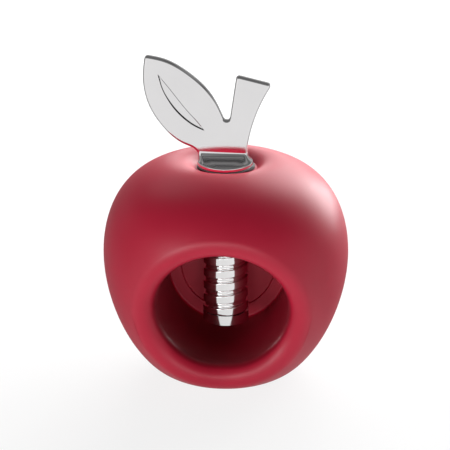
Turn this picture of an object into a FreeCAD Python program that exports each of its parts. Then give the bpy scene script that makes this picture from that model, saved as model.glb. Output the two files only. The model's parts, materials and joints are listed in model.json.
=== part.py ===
"""Screw nutcracker in the shape of an apple.

A hollow apple-shaped body stands on a rubber pad and has a round cavity open to the front (-Y).
A coarse screw comes down through the apple's crown into the cavity and presses a nut against the
cavity's floor.  Its handle is a flat leaf and stem that grow out of a small round bell.

Frame: origin in the middle of the resting face, +Z up along the screw, the cavity opens along -Y.
All sizes are in millimetres.  The rest position has the screw fully down.
"""
import FreeCAD
import Part
import math
import os
from FreeCAD import Vector

# ---------------------------------------------------------------- driving dimensions
# Apple body
body_radius = 45.0          # widest radius of the apple
crest_height = 82.4         # height of the crown above the resting face
crest_width = 5.7           # from the edge of the dimple's seat out to the highest ring of the crown
dimple_depth = 2.5          # from the crown down to the seat in its dimple
wall = 3.0                  # wall of the two shells
foot_edge_radius = 20.0     # where the apple's skin ends under the body
skin_bottom = 1.0           # height of that edge, which the rubber pad stands below
split_height = 47.5         # height where the upper and lower shell meet
lap_height = 2.0            # height of the shells' tongue and groove

# Cavity, round the Y direction
cavity_radius = 24.0        # radius at the mouth
cavity_mouth_y = -36.0      # where cavity_radius is measured
cavity_back_y = 16.0        # inner face of the cavity's back wall
cavity_draft = 1.5          # degrees a side, so that the cavity can be drawn from the mould
back_recess_radius = 17.8   # shallow round recess in the back wall
back_recess_depth = 1.0
cavity_corner = 0.8         # rounding between the cavity's side and its back wall
recess_edge = 0.3           # rounding of the recess's step
lip_radius = 5.0            # rounding of the mouth's lip
collar_wall = 3.5           # wall of the shells' collar behind the lip

# Core, the casting that takes the screw's force
core_wall = 3.5
core_back_wall = 3.5
boss_wall = 3.8             # round the bush's flange
pedestal_radius = 16.0      # round foot under the cavity
pedestal_height = 2.6
ear_rise = 18.5             # underside of the ears above the cavity's axis
ear_thickness = 4.0
ear_width = 9.0
ear_clearance = 1.05        # between the ear screws' heads and the cavity's wall

# Screw thread, one right-hand start
thread_radius = 8.5
thread_pitch = 5.0
thread_depth = 0.85
groove_width = 2.1          # at the crest
groove_root = 1.2           # at the root
thread_gap = 0.25           # running clearance, radial and along each flank
turns_of_travel = 7.5       # from screwed down to clear of a whole nut

# Spindle
floor_clearance = 7.86      # left between the press foot and the cavity's floor when screwed down
chamfer = 0.6
groove_margin = 0.6         # how far the groove runs on above the bush
cross_pin_radius = 1.5
cross_pin_depth = 7.7       # below the top of the spindle
cross_pin_inset = 0.2       # the pin's ends stay this far inside the groove's root

# Press foot and its shoulder screw
foot_height = 4.3
foot_gap = 0.2              # axial play between the foot and the spindle
foot_play = 0.1             # radial play on the shoulder
foot_counterbore = 4.3
foot_ledge = 1.7            # thickness of the ledge that the screw's head holds
shoulder_radius = 2.5
foot_head_radius = 4.0
foot_head_height = 2.0
foot_thread_radius = 2.0
foot_thread_length = 10.0
foot_socket_depth = 1.4

# Bush
bush_wall = 3.5             # outside the thread's crest
bush_flange_width = 3.0
bush_flange_height = 3.0
bush_recess = 4.44          # between the cavity's ceiling and the bush
bush_top_gap = 0.5          # between the bush and the upper shell
bush_lead = 0.3             # plain lead-in at both ends of the bush's thread
overcut = 0.4               # thread cutters and ridges reach this far past their surface
fit_gap = 0.05              # radial clearance of parts that fit into each other
pocket_gap = 0.2
dowel_radius = 1.5
dowel_length = 7.0
dowel_offset = 1.3          # the dowel's axis outside the bush's barrel

# Leaf handle
plate_thickness = 3.2
plate_edge = 0.45           # polished rounding along the plate's outline
corner_radius = 0.8
flange_width = 1.95         # how far the bell covers the seat round the screw's hole
flange_gap = 0.5            # between the bell's rim and the edge of the dimple's seat
flange_rim = 1.4            # height of the bell's rim
bell_height = 5.6           # from the flange's underside to where the bell meets the plate's faces
vein_depth = 0.5
spigot_radius = 5.0
spigot_length = 13.5
spigot_chamfer = 0.5
spigot_end_gap = 0.5

# Washer, pad and fasteners
washer_thickness = 0.7
washer_margin = 0.3         # the washer stays this far inside the bell's rim
spindle_hole_gap = 0.35
running_gap = 0.1           # between the washer and the flange with the screw fully down
pad_border = 2.5            # from the edge of the skin to the pad
pad_thickness = 2.4
pad_gap = 0.3
pad_rim = 0.4               # rounding of the pad's lower edge
pad_groove_radii = (6.0, 11.0)
pad_groove_width = 1.2
pad_groove_depth = 0.6
screw_count = 3
screw_clearance = 0.2       # round a shank or a head in a plain hole
base_screw_reach = 11.0
base_head_radius = 2.75
base_head_height = 1.7
base_shank_radius = 1.5
base_cover = 1.15           # left between the base screws and the cavity
ear_head_radius = 2.8
ear_head_height = 2.2
ear_shank_radius = 1.5
ear_shank_length = 13.0
post_radius = 3.6
post_root = 0.5             # how far the posts reach into the crown's wall
hex_size = 1.25             # inner radius of the screws' hexagon sockets
socket_share = 0.6          # part of a screw head's height that its socket takes
hole_reserve = 0.5          # a blind screw hole is this much deeper than its screw

# Shape of the dimple's side, as a share of its width and of its depth
DIMPLE_SIDE = (0.42, 0.68)
# Shape of the apple's flank, as shares of body_radius and of crest_height
FLANK = (
    (0.542, 0.983),
    (0.736, 0.926),
    (0.882, 0.835),
    (0.967, 0.723),
    (1.000, 0.576),
    (0.973, 0.434),
    (0.883, 0.274),
    (0.729, 0.125),
    (0.576, 0.044),
)

# ---------------------------------------------------------------- derived places
Z_AXIS = Vector(0, 0, 1)
Y_AXIS = Vector(0, 1, 0)
X_AXIS = Vector(1, 0, 0)
FAR = 4 * body_radius                   # beyond everything

pad_top = pad_thickness
floor_top = pad_top + wall              # inside face of the lower shell's floor
dimple_floor = crest_height - dimple_depth
ceiling = dimple_floor - wall           # inside face of the upper shell's crown
cavity_height = floor_top + pedestal_height + core_wall + cavity_radius


def cavity_radius_at(y):
    """Radius of the drafted cavity at a depth y."""
    return cavity_radius - (y - cavity_mouth_y) * math.tan(math.radians(cavity_draft))


cavity_floor = cavity_height - cavity_radius_at(0)
cavity_top = cavity_height + cavity_radius_at(0)
flange_bottom = dimple_floor + washer_thickness + running_gap
spindle_hole_radius = thread_radius + spindle_hole_gap
flange_radius = spindle_hole_radius + flange_width
dimple_radius = flange_radius + flange_gap
crest_radius = dimple_radius + crest_width
pad_radius = foot_edge_radius - pad_border
bush_bottom = cavity_top + bush_recess
bush_top = ceiling - bush_top_gap
bush_radius = thread_radius + bush_wall
bush_flange_radius = bush_radius + bush_flange_width
boss_radius = bush_flange_radius + pocket_gap + boss_wall
core_front_y = -boss_radius             # the shells' collar ends and the core begins here
core_back_y = cavity_back_y + back_recess_depth + core_back_wall
dowel_reach = bush_radius + dowel_offset
foot_bottom = cavity_floor + floor_clearance
foot_top = foot_bottom + foot_height
spindle_bottom = foot_top + foot_gap
spindle_top = flange_bottom
groove_top = bush_top + groove_width / 2 + groove_margin
socket_radius = spigot_radius + fit_gap
socket_depth = spigot_length + spigot_end_gap
cross_pin_height = spindle_top - cross_pin_depth
base_head_bottom = pad_top + screw_clearance
base_shank_length = cavity_floor - base_cover - base_head_bottom - base_head_height
core_radius = cavity_radius + core_wall
ear_height = cavity_height + ear_rise
ear_half_chord = math.sqrt(core_radius ** 2 - (ear_rise - ear_head_height) ** 2)
ear_reach = max(ear_half_chord, boss_radius, core_back_y) + ear_head_radius + ear_clearance


# ---------------------------------------------------------------- small helpers
def spline(points, start=None, end=None):
    """A smooth curve through points, with optional end directions."""
    curve = Part.BSplineCurve()
    vectors = [Vector(*p) for p in points]
    if start is None:
        curve.interpolate(vectors)
    else:
        directions = [Vector(*start).normalize(), Vector(*end).normalize()]
        curve.interpolate(
            Points=vectors, InitialTangent=directions[0], FinalTangent=directions[1], Scale=False
        )
    return curve


def line(a, b):
    return Part.LineSegment(Vector(*a), Vector(*b)).toShape()


def turned(edges):
    """The solid that a closed outline in the XZ plane sweeps round the Z axis."""
    return Part.Face(Part.Wire(edges)).revolve(Vector(), Z_AXIS, 360)


def lathe(points):
    """A turned solid from straight lines between (radius, height) points."""
    corners = [Vector(r, 0, z) for r, z in points]
    return Part.Face(Part.makePolygon(corners + corners[:1])).revolve(Vector(), Z_AXIS, 360)


def disc(radius, low, high, x=0.0, y=0.0):
    return Part.makeCylinder(radius, high - low, Vector(x, y, low), Z_AXIS)


def along_y(radius, y_low, y_high):
    """A cylinder round the cavity's axis."""
    return Part.makeCylinder(radius, y_high - y_low, Vector(0, y_low, cavity_height), Y_AXIS)


def hexagon(inner_radius, low, high, x=0.0, y=0.0):
    """An upright hexagonal prism, for a screw's socket."""
    outer = inner_radius / math.cos(math.pi / 6)
    ring = [
        Vector(x + outer * math.cos(k * math.pi / 3), y + outer * math.sin(k * math.pi / 3), low)
        for k in range(6)
    ]
    return Part.Face(Part.makePolygon(ring + ring[:1])).extrude(Vector(0, 0, high - low))


def spread(count, reach, start):
    """count places evenly spread on a circle of radius reach, from an angle in degrees."""
    angles = [math.radians(start + 360.0 * k / count) for k in range(count)]
    return [(reach * math.cos(a), reach * math.sin(a)) for a in angles]


# ---------------------------------------------------------------- the apple's skin
def skin_curve():
    """The apple's outline from the dimple's seat over the crown and down to the foot."""
    mid_radius = dimple_radius + DIMPLE_SIDE[0] * crest_width
    mid_height = dimple_floor + DIMPLE_SIDE[1] * dimple_depth
    points = [(dimple_radius, 0, dimple_floor), (mid_radius, 0, mid_height), (crest_radius, 0, crest_height)]
    points += [(r * body_radius, 0, h * crest_height) for r, h in FLANK]
    points.append((foot_edge_radius, 0, skin_bottom))
    return spline(points)


def apple_block():
    """The apple as one solid block."""
    curve = skin_curve()
    edges = [
        curve.toShape(),
        line((foot_edge_radius, 0, skin_bottom), (0, 0, skin_bottom)),
        line((0, 0, skin_bottom), (0, 0, dimple_floor)),
        line((0, 0, dimple_floor), (dimple_radius, 0, dimple_floor)),
    ]
    return turned(edges)


def hollow():
    """The space inside the shells: the skin moved in by the wall, between floor and crown."""
    curve = skin_curve()
    first, last = curve.FirstParameter, curve.LastParameter
    inner = []
    samples = 40
    for k in range(samples + 1):
        u = first + (last - first) * k / samples
        point = curve.value(u)
        along = curve.tangent(u)[0]
        moved = point + Vector(along.z, 0, -along.x) * wall
        if point.x > crest_radius + wall and floor_top - wall < moved.z < crest_height:
            inner.append((moved.x, 0, moved.z))
    edges = [
        spline(inner).toShape(),
        line(inner[-1], (0, 0, inner[-1][2])),
        line((0, 0, inner[-1][2]), (0, 0, inner[0][2])),
        line((0, 0, inner[0][2]), inner[0]),
    ]
    return turned(edges).common(disc(FAR, floor_top, ceiling))


def mouth_bore(y_end):
    """The drafted cavity from in front of the apple to y_end."""
    start = -2 * body_radius
    length = y_end - start
    return Part.makeCone(
        cavity_radius_at(start), cavity_radius_at(y_end), length, Vector(0, start, cavity_height), Y_AXIS
    )


def with_lip(block):
    """The block with the cavity's mouth cut in and its lip rounded."""
    bored = block.cut(mouth_bore(core_front_y))
    rim = [
        edge for edge in bored.Edges
        if {type(face.Surface) for face in bored.ancestorsOfType(edge, Part.Face)}
        == {Part.Cone, Part.SurfaceOfRevolution}
    ]
    return bored.makeFillet(lip_radius, rim)


def shell():
    """Both shells as one piece, before they are split."""
    collar = along_y(cavity_radius + collar_wall, -FAR, core_front_y)
    body = with_lip(apple_block()).cut(hollow().cut(collar))
    body = body.cut(disc(spindle_hole_radius, ceiling - 1, dimple_floor + 1))
    post_low = ear_height + ear_thickness
    for x, y in ear_places():
        body = body.fuse(disc(post_radius, post_low, ceiling + post_root, x, y))
        pilot_top = ear_height + ear_shank_length + hole_reserve
        body = body.cut(disc(ear_shank_radius + fit_gap, post_low - 1, pilot_top, x, y))
    body = body.cut(disc(pad_radius + pad_gap, 0, pad_top))
    for x, y in base_screw_places():
        body = body.cut(disc(base_shank_radius + screw_clearance, pad_top - 1, floor_top + 1, x, y))
        head_top = base_head_bottom + base_head_height
        body = body.cut(disc(base_head_radius + screw_clearance, pad_top - 1, head_top, x, y))
    return body


def lap(gap):
    """The space of the shells' tongue, which runs round the back as far as the collar."""
    ring = disc(body_radius - wall / 2 + gap, split_height - lap_height - gap, split_height)
    behind = Part.makeBox(FAR, FAR, FAR, Vector(-FAR / 2, core_front_y - gap, 0))
    return ring.common(behind)


def upper_shell(whole):
    return whole.common(disc(FAR, split_height, 2 * crest_height)).fuse(whole.common(lap(0)))


def lower_shell(whole):
    return whole.common(disc(FAR, 0, split_height)).cut(lap(fit_gap))


# ---------------------------------------------------------------- the core
def ear_places():
    """The ears stand at both sides and at the back."""
    return [(ear_reach, 0.0), (-ear_reach, 0.0), (0.0, ear_reach)]


def base_screw_places():
    return spread(screw_count, base_screw_reach, 90)


def rings(shape, y, radius):
    """The round edges of one radius that lie flat at a depth y, round the cavity's axis."""
    return [
        edge for edge in shape.Edges
        if isinstance(edge.Curve, Part.Circle) and abs(edge.Curve.Radius - radius) < 0.01
        and abs(edge.Curve.Center.y - y) < 0.01
    ]


def cavity_core():
    core = along_y(core_radius, core_front_y, core_back_y)
    core = core.fuse(disc(boss_radius, cavity_height, ceiling))
    core = core.fuse(disc(pedestal_radius, floor_top, cavity_height))
    for x, y in ear_places():
        angle = math.degrees(math.atan2(y, x))
        arm = Part.makeBox(ear_reach, ear_width, ear_thickness, Vector(0, -ear_width / 2, ear_height))
        arm.rotate(Vector(), Z_AXIS, angle)
        core = core.fuse(arm).fuse(disc(ear_width / 2, ear_height, ear_height + ear_thickness, x, y))
    core = core.cut(mouth_bore(cavity_back_y))
    recess_floor_y = cavity_back_y + back_recess_depth
    core = core.cut(along_y(back_recess_radius, cavity_back_y - 1, recess_floor_y))
    core = core.makeFillet(cavity_corner, rings(core, cavity_back_y, cavity_radius_at(cavity_back_y)))
    core = core.makeFillet(recess_edge, rings(core, cavity_back_y, back_recess_radius))
    core = core.makeFillet(recess_edge, rings(core, recess_floor_y, back_recess_radius))
    flange_seat = bush_bottom + bush_flange_height
    core = core.cut(disc(bush_flange_radius + pocket_gap, cavity_height, flange_seat))
    core = core.cut(disc(bush_radius + fit_gap, flange_seat - 1, ceiling + 1))
    dowel_top = bush_bottom + dowel_length + fit_gap
    core = core.cut(disc(dowel_radius + fit_gap, flange_seat - 1, dowel_top, 0, dowel_reach))
    ear_top = ear_height + ear_thickness
    for x, y in ear_places():
        core = core.cut(disc(ear_shank_radius + screw_clearance, ear_height - 1, ear_top + 1, x, y))
    for x, y in base_screw_places():
        tip = cavity_floor - base_cover + hole_reserve
        core = core.cut(disc(base_shank_radius + fit_gap, floor_top - 1, tip, x, y))
    return core.removeSplitter()


# ---------------------------------------------------------------- thread
def thread_ridge(low, high, outer, inner, outer_width, inner_width):
    """A helical bar of trapezoidal section between two radii, in phase with the thread."""
    path = Part.makeHelix(thread_pitch, high - low, inner)
    corners = [
        Vector(inner, 0, -inner_width / 2),
        Vector(outer, 0, -outer_width / 2),
        Vector(outer, 0, outer_width / 2),
        Vector(inner, 0, inner_width / 2),
    ]
    section = Part.makePolygon(corners + corners[:1])
    ridge = Part.Wire(path.Edges).makePipeShell([section], True, True)
    ridge.rotate(Vector(), Z_AXIS, 360 * (low - spindle_bottom) / thread_pitch)
    ridge.translate(Vector(0, 0, low))
    return ridge


def flank_width(radius):
    """Width of the spindle's groove at a radius."""
    root = thread_radius - thread_depth
    share = (radius - root) / thread_depth
    return groove_root + share * (groove_width - groove_root)


def spindle():
    """The screw: its groove runs out at the lower end and stops short of the handle."""
    root = thread_radius - thread_depth
    beyond = thread_radius + overcut
    body = lathe(
        [
            (0, spindle_bottom),
            (thread_radius - chamfer, spindle_bottom),
            (thread_radius, spindle_bottom + chamfer),
            (thread_radius, spindle_top),
            (0, spindle_top),
        ]
    )
    groove_low = spindle_bottom - thread_pitch / 2
    body = body.cut(thread_ridge(groove_low, groove_top, beyond, root, flank_width(beyond), groove_root))
    body = body.cut(disc(socket_radius, spindle_top - socket_depth, spindle_top + 1))
    tapped_top = spindle_bottom + foot_thread_length + hole_reserve
    body = body.cut(disc(foot_thread_radius + fit_gap, spindle_bottom - 1, tapped_top))
    return body.cut(cross_hole(cross_pin_radius + fit_gap, 2 * body_radius))


def cross_hole(radius, length):
    """A bar across the spindle's socket, along X."""
    return Part.makeCylinder(radius, length, Vector(-length / 2, 0, cross_pin_height), X_AXIS)


def thread_bush():
    """The bush: its thread stands inside a plain bore and stops short of both ends."""
    crest = thread_radius - thread_depth + thread_gap
    clear = thread_radius + thread_gap
    body = disc(bush_radius, bush_bottom, bush_top).fuse(
        disc(bush_flange_radius, bush_bottom, bush_bottom + bush_flange_height)
    )
    body = body.cut(disc(clear, bush_bottom - 1, bush_top + 1))
    beyond = clear + overcut
    wide = flank_width(beyond) - 2 * thread_gap
    narrow = flank_width(crest) - 2 * thread_gap
    low = bush_bottom + wide / 2 + bush_lead
    high = bush_top - wide / 2 - bush_lead
    body = body.fuse(thread_ridge(low, high, beyond, crest, wide, narrow))
    dowel_top = bush_bottom + dowel_length + fit_gap
    return body.cut(disc(dowel_radius + fit_gap, bush_bottom - 1, dowel_top, 0, dowel_reach))


# ---------------------------------------------------------------- leaf handle
# Outline of the plate in the XZ plane, heights measured from the flange's underside
LEAF_TIP = (-28.7, 40.0)
LEAF_UNDER = ((-29.5, 33.6), (-27.8, 22.9), (-22.5, 14.1), (-14.7, 7.5))
LEAF_OVER = ((-21.4, 38.5), (-13.3, 34.2), (-6.5, 27.8), (-2.8, 21.2))
NOTCH_LEFT = (-1.1, 16.9)
NOTCH_BOTTOM = (0.15, 15.7)
NOTCH_RIGHT = (1.4, 17.0)
STEM_TOP_LEFT = (3.8, 33.0)
STEM_TOP_RIGHT = (16.4, 30.0)
STEM_RIGHT = ((13.2, 24.6), (10.4, 17.9), (8.5, 11.2))
NECK_RIGHT = (7.8, 4.0)
NECK_LEFT = (-10.0, 4.0)
NECK_FLARE = (-11.3, 6.1)
UNDER_SLOPE = (-1, 0, 0.45)
# Outline of the bell's hollow side: radius and height above the flange's underside
BELL_FLANK = ((6.4, 2.15), (3.4, 3.5))
# The vein is a lens between two curves with the same ends
VEIN_TOP = (-23.5, 32.6)
VEIN_BOTTOM = (-7.7, 13.2)
VEIN_LEFT = ((-22.1, 28.0), (-17.7, 20.6), (-14.2, 17.3))
VEIN_RIGHT = ((-20.1, 28.1), (-16.6, 23.2), (-12.9, 18.9))


def lifted(point):
    """An outline point as a place on the plate's middle plane."""
    return (point[0], 0, flange_bottom + point[1])


def handle_curve(points, start, end):
    """A smooth edge of the plate through outline points, with its end directions."""
    return spline([lifted(p) for p in points], start, end).toShape()


def leaf_plate():
    foot = flange_rim / 2
    foot_left, foot_right = (NECK_LEFT[0], foot), (NECK_RIGHT[0], foot)
    notch = Part.Arc(*[Vector(*lifted(p)) for p in (NOTCH_LEFT, NOTCH_BOTTOM, NOTCH_RIGHT)])
    edges = [
        line(lifted(foot_left), lifted(NECK_LEFT)),
        handle_curve((NECK_LEFT, NECK_FLARE, LEAF_UNDER[3]), (0, 0, 1), UNDER_SLOPE),
        handle_curve((*LEAF_UNDER[::-1], LEAF_TIP), UNDER_SLOPE, (0.15, 0, 1)),
        handle_curve((LEAF_TIP, *LEAF_OVER, NOTCH_LEFT), (1, 0, -0.05), (0.42, 0, -1)),
        notch.toShape(),
        line(lifted(NOTCH_RIGHT), lifted(STEM_TOP_LEFT)),
        line(lifted(STEM_TOP_LEFT), lifted(STEM_TOP_RIGHT)),
        handle_curve((STEM_TOP_RIGHT, *STEM_RIGHT, NECK_RIGHT), (-0.5, 0, -1), (0, 0, -1)),
        line(lifted(NECK_RIGHT), lifted(foot_right)),
        line(lifted(foot_right), lifted(foot_left)),
    ]
    face = Part.Face(Part.Wire(edges))
    face.translate(Vector(0, -plate_thickness / 2, 0))
    plate = face.extrude(Vector(0, plate_thickness, 0))
    plate = plate.makeFillet(corner_radius, [e for e in plate.Edges if is_corner(e)])
    outline = [
        e for e in plate.Edges
        if e.BoundBox.YLength < 1e-3 and e.BoundBox.ZMax > flange_bottom + foot + 0.1
    ]
    return plate.makeFillet(plate_edge, outline)


def is_corner(edge):
    """Whether an edge runs through the plate at the leaf's tip or at a corner of the stem's top."""
    box = edge.BoundBox
    if box.XLength > 1e-3 or box.ZLength > 1e-3:
        return False
    places = [Vector(*lifted(p)) for p in (LEAF_TIP, STEM_TOP_LEFT, STEM_TOP_RIGHT)]
    return any(math.hypot(box.XMin - p.x, box.ZMin - p.z) < 0.01 for p in places)


def vein_cut():
    """The lens that is engraved in the leaf's front face, deepest along its lower left side."""
    front = -plate_thickness / 2
    left = spline([lifted(VEIN_TOP)] + [lifted(p) for p in VEIN_LEFT] + [lifted(VEIN_BOTTOM)])
    right = spline([lifted(VEIN_BOTTOM)] + [lifted(p) for p in VEIN_RIGHT[::-1]] + [lifted(VEIN_TOP)])
    face = Part.Face(Part.Wire([left.toShape(), right.toShape()]))
    face.translate(Vector(0, front - vein_depth, 0))
    return face.extrude(Vector(0, 2 * vein_depth, 0))


def bell():
    """The round foot of the handle, hollow-flanked like a trumpet, with the spigot under it."""
    bead = flange_rim / 2
    crown = (plate_thickness / 2, 0, flange_bottom + bell_height)
    shoulder = (flange_radius - bead, 0, flange_bottom + flange_rim)
    underside = (flange_radius - bead, 0, flange_bottom)
    knees = [lifted(p) for p in BELL_FLANK]
    rim = Part.Arc(Vector(*underside), Vector(flange_radius, 0, flange_bottom + bead), Vector(*shoulder))
    low = flange_bottom - spigot_length
    spigot_corner = (spigot_radius - spigot_chamfer, 0, low)
    spigot_side = (spigot_radius, 0, low + spigot_chamfer)
    spigot_top = (spigot_radius, 0, flange_bottom)
    edges = [
        line((0, 0, low), spigot_corner),
        line(spigot_corner, spigot_side),
        line(spigot_side, spigot_top),
        line(spigot_top, underside),
        rim.toShape(),
        spline([shoulder, *knees, crown], (-1, 0, 0.02), (-0.35, 0, 1)).toShape(),
        line(crown, (0, 0, crown[2])),
        line((0, 0, crown[2]), (0, 0, low)),
    ]
    return turned(edges)


def leaf_handle():
    body = bell().fuse(leaf_plate()).cut(vein_cut())
    return body.cut(cross_hole(cross_pin_radius + fit_gap, 2 * body_radius))


# ---------------------------------------------------------------- small pieces
def press_foot():
    bore = shoulder_radius + foot_play
    body = lathe(
        [
            (bore, foot_bottom),
            (thread_radius - chamfer, foot_bottom),
            (thread_radius, foot_bottom + chamfer),
            (thread_radius, foot_top),
            (bore, foot_top),
        ]
    )
    return body.cut(disc(foot_counterbore, foot_bottom - 1, foot_top - foot_ledge))


def foot_screw():
    head_top = foot_top - foot_ledge - foot_gap
    head_bottom = head_top - foot_head_height
    body = disc(foot_head_radius, head_bottom, head_top)
    body = body.fuse(disc(shoulder_radius, head_top, spindle_bottom))
    body = body.fuse(disc(foot_thread_radius, spindle_bottom, spindle_bottom + foot_thread_length))
    return body.cut(hexagon(hex_size, head_bottom, head_bottom + foot_socket_depth)).removeSplitter()


def bush_dowel():
    return disc(dowel_radius, bush_bottom, bush_bottom + dowel_length, 0, dowel_reach)


def cross_pin():
    return cross_hole(cross_pin_radius, 2 * (thread_radius - thread_depth - cross_pin_inset))


def thrust_washer():
    washer_top = dimple_floor + washer_thickness
    washer = disc(flange_radius - washer_margin, dimple_floor, washer_top)
    return washer.cut(disc(spindle_hole_radius, dimple_floor - 1, washer_top + 1))


def rubber_pad():
    pad = disc(pad_radius, 0, pad_thickness)
    rim = [e for e in pad.Edges if e.BoundBox.ZMax < 0.1 and e.Length > 3]
    pad = pad.makeFillet(pad_rim, rim)
    for radius in pad_groove_radii:
        ring = disc(radius + pad_groove_width / 2, -1, pad_groove_depth).cut(
            disc(radius - pad_groove_width / 2, -2, pad_thickness)
        )
        pad = pad.cut(ring)
    return pad


def screws(places, head, shank):
    """Upright screws with their heads below: head is (bottom, radius, height), shank (radius, length)."""
    head_bottom, head_radius, head_height = head
    shank_radius, shank_length = shank
    top = head_bottom + head_height
    socket_top = head_bottom + socket_share * head_height
    made = []
    for x, y in places:
        shank = disc(shank_radius, top, top + shank_length, x, y)
        body = disc(head_radius, head_bottom, top, x, y).fuse(shank)
        body = body.cut(hexagon(hex_size, head_bottom - 1, socket_top, x, y))
        made.append(body.removeSplitter())
    return Part.makeCompound(made)


def base_screws():
    head = (base_head_bottom, base_head_radius, base_head_height)
    return screws(base_screw_places(), head, (base_shank_radius, base_shank_length))


def ear_screws():
    head = (ear_height - ear_head_height, ear_head_radius, ear_head_height)
    return screws(ear_places(), head, (ear_shank_radius, ear_shank_length))


# ---------------------------------------------------------------- build
def main():
    os.makedirs("parts", exist_ok=True)
    whole = shell()
    nodes = {
        "upper_shell": upper_shell(whole),
        "lower_shell": lower_shell(whole),
        "cavity_core": cavity_core(),
        "thread_bush": thread_bush(),
        "bush_dowel": bush_dowel(),
        "ear_screws": ear_screws(),
        "base_screws": base_screws(),
        "rubber_pad": rubber_pad(),
        "thrust_washer": thrust_washer(),
        "spindle": spindle(),
        "leaf_handle": leaf_handle(),
        "cross_pin": cross_pin(),
        "press_foot": press_foot(),
        "foot_screw": foot_screw(),
    }
    for name, shape in nodes.items():
        solids = shape.Solids
        print(f"{name}: {len(solids)} solid(s), volume {shape.Volume:.0f} mm3, valid {shape.isValid()}")
        kept = solids[0] if len(solids) == 1 else Part.makeCompound(solids)
        kept.exportStep(f"parts/{name}.step")
    print(f"the screw lifts {turns_of_travel * thread_pitch} mm in {turns_of_travel} turns")


main()
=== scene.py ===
# %% [markdown]
# # A screw nutcracker in the shape of an apple
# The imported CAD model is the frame: it says where every part sits and how it moves.  This lesson
# gives the parts their looks.  A hollow apple stands on a rubber pad, a polished screw comes down
# into its round cavity, and a flat leaf with a stem is the handle that turns the screw.

import json
import math

import bmesh
import bpy
import numpy as np
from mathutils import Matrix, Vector, geometry

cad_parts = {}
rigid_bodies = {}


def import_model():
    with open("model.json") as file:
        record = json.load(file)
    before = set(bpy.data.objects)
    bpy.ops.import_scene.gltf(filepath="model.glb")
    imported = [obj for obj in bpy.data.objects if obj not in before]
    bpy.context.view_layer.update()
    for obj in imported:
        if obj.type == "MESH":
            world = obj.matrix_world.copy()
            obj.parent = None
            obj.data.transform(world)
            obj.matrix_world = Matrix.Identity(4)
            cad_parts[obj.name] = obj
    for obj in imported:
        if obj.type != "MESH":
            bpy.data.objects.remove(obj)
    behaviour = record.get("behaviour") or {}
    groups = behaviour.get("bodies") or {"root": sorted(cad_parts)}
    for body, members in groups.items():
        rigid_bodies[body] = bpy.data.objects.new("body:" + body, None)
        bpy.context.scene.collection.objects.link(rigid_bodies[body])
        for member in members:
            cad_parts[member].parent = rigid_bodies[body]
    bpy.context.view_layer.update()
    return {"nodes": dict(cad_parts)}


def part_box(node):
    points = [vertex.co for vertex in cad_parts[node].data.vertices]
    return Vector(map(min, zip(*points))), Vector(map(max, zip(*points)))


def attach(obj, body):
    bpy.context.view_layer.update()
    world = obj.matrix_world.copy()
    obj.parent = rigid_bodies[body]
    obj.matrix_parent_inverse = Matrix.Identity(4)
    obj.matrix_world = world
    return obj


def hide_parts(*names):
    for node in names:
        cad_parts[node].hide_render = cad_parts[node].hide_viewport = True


for leftover in list(bpy.data.objects):
    bpy.data.objects.remove(leftover)
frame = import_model()
nodes = frame["nodes"]

# %% [markdown]
# Blender works in metres, and a kitchen tool is easier to think about in millimetres.  One name
# turns the one into the other, and everything below is written as a number times mm.

# %% Units and the view
mm = 0.001
scene = bpy.context.scene
scene.view_settings.view_transform = "Standard"
weld_distance = 0.0001 * mm
print("one unit is a metre, points weld within", weld_distance / mm, "mm")

# %% [markdown]
# Each detailed piece is made of grids of points that share their borders.  Once they are welded the
# mesh has to be closed, so the number of open edges is counted and printed: it should always be 0.
# Every piece then rides on a body of the frame, and gets its material.

# %% From points to a piece
def mesh_piece(name, work, body, material, sharp_angle=35.0):
    """A mesh object from a patchwork, smooth except where faces meet at a sharp angle."""
    data = bpy.data.meshes.new(name)
    data.from_pydata([tuple(p) for p in work.points], [], work.faces)
    data.validate()
    shaped = bmesh.new()
    shaped.from_mesh(data)
    bmesh.ops.delete(shaped, geom=[v for v in shaped.verts if not v.link_faces], context="VERTS")
    bmesh.ops.remove_doubles(shaped, verts=shaped.verts, dist=weld_distance)
    bmesh.ops.recalc_face_normals(shaped, faces=shaped.faces)
    open_edges = sum(1 for edge in shaped.edges if len(edge.link_faces) != 2)
    shaped.to_mesh(data)
    shaped.free()
    data.shade_smooth()
    data.set_sharp_from_angle(angle=math.radians(sharp_angle))
    piece = bpy.data.objects.new(name, data)
    scene.collection.objects.link(piece)
    data.materials.append(material)
    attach(piece, body)
    print(f"{name}: {len(data.vertices)} points, {len(data.polygons)} faces, {open_edges} open edges")
    return piece


# %% [markdown]
# A finish is a small net of nodes.  Written as Python expressions it reads like the sentence that
# describes it: a wire carries a value from node to node, and adding or multiplying wires adds the
# Math nodes.  Every other node comes from one method, which takes the node's type, its settings
# and what goes into its sockets.

# %% Wires and finishes
class Wire:
    """A node's output that can be used in a Python expression."""

    def __init__(self, finish, socket):
        self.finish = finish
        self.socket = socket

    def _math(self, operation, first, second):
        settings = {"operation": operation}
        return self.finish.node("ShaderNodeMath", settings, {0: first, 1: second})

    def __add__(self, other):
        return self._math("ADD", self, other)

    def __sub__(self, other):
        return self._math("SUBTRACT", self, other)

    def __rsub__(self, other):
        return self._math("SUBTRACT", other, self)

    def __mul__(self, other):
        return self._math("MULTIPLY", self, other)

    __radd__ = __add__
    __rmul__ = __mul__


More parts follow.
